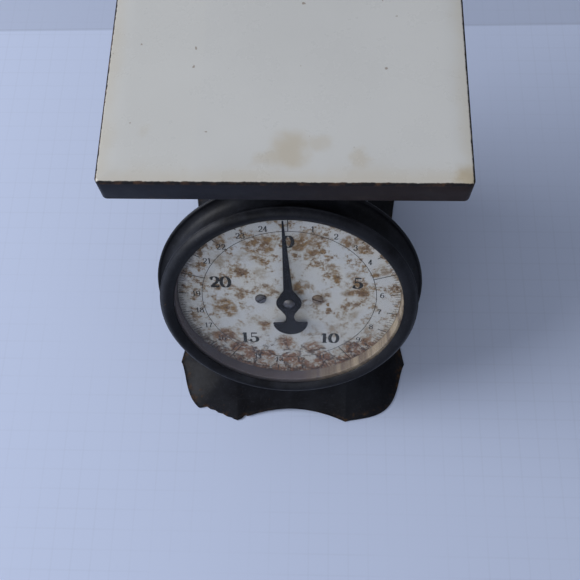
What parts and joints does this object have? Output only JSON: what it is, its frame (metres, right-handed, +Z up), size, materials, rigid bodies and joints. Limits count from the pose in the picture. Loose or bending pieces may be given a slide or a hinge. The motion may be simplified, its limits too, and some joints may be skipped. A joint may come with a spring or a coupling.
{
  "type": "kitchen platform spring scale",
  "caption": "Counter-top spring scale: a square enamelled platform on a black pressed-steel tower, with a tilted round dial in front and a spring, rack and pinion inside.",
  "frame": {"origin": "on the table, under the middle of the whole object's outline", "axes": "+Z up, -Y is the side the dial faces, +X to the right of a person who reads the dial"},
  "size_m": [0.1772, 0.236, 0.215],
  "materials": {
    "black_japan": "satin, worn",
    "white_enamel": "gloss, stained",
    "dial_paint": "matte, rust-spotted",
    "liner_paint": "matte, aged",
    "clear_glass": "clear, dusty",
    "pointer_black": "satin",
    "dark_steel": "dull, lightly rusted",
    "bright_steel": "worn",
    "spring_steel": "dull",
    "old_brass": "tarnished"
  },
  "bodies": {
    "housing": {"base_skirt": "black_japan", "tower_shell": "black_japan", "base_screws": "dark_steel", "top_cap": "black_japan", "cap_screws": "dark_steel", "back_cover": "black_japan", "cover_screws": "dark_steel", "drum_shell": "black_japan", "bezel_ring": "black_japan", "dial_glass": "clear_glass", "dial_liner": "liner_paint", "dial_plate": "dial_paint", "dial_posts": "old_brass", "dial_screws": "bright_steel", "arbor_bracket": "dark_steel", "front_arbor_bush": "old_brass", "rear_arbor_bush": "old_brass", "mechanism_frame": "dark_steel", "frame_screws": "dark_steel", "upper_stem_bush": "old_brass", "lower_stem_bush": "old_brass", "spring_hanger": "dark_steel", "hanger_pin": "dark_steel", "left_spring": "spring_steel", "right_spring": "spring_steel"},
    "zero_screw": {"zero_screw": "old_brass"},
    "platform": {"platform_pan": "white_enamel", "platform_spider": "black_japan", "pan_screws": "dark_steel", "spider_screws": "dark_steel", "stem": "dark_steel", "spring_yoke": "dark_steel", "yoke_nuts": "dark_steel", "rack_arm": "dark_steel", "arm_screws": "dark_steel", "rack": "old_brass", "rack_screws": "dark_steel"},
    "pointer": {"arbor": "dark_steel", "pinion": "old_brass", "pointer_hand": "pointer_black", "pointer_cap": "bright_steel"}
  },
  "joints": [
    {"name": "platform_slide", "type": "slide", "parent": "housing", "child": "platform", "axis": [0, 0, -1], "range_m": [0, 0.0199], "stiffness_N_per_m": 5366, "springref_m": -0.00137, "deforming": ["left_spring", "right_spring"]},
    {"name": "pointer_turn", "type": "hinge", "parent": "housing", "child": "pointer", "pos_m": [0, -0.0665, 0.1], "axis": [0, 0.9063, -0.4226], "range_deg": [0, 350]},
    {"name": "zero_turn", "type": "hinge", "parent": "housing", "child": "zero_screw", "pos_m": [0, 0.058, 0.182], "axis": [0, 0, 1], "range_deg": [-360, 360]}
  ],
  "couplings": [
    {"joint": "pointer_turn", "follows": "platform_slide", "rad_per_m": 302.1}
  ]
}
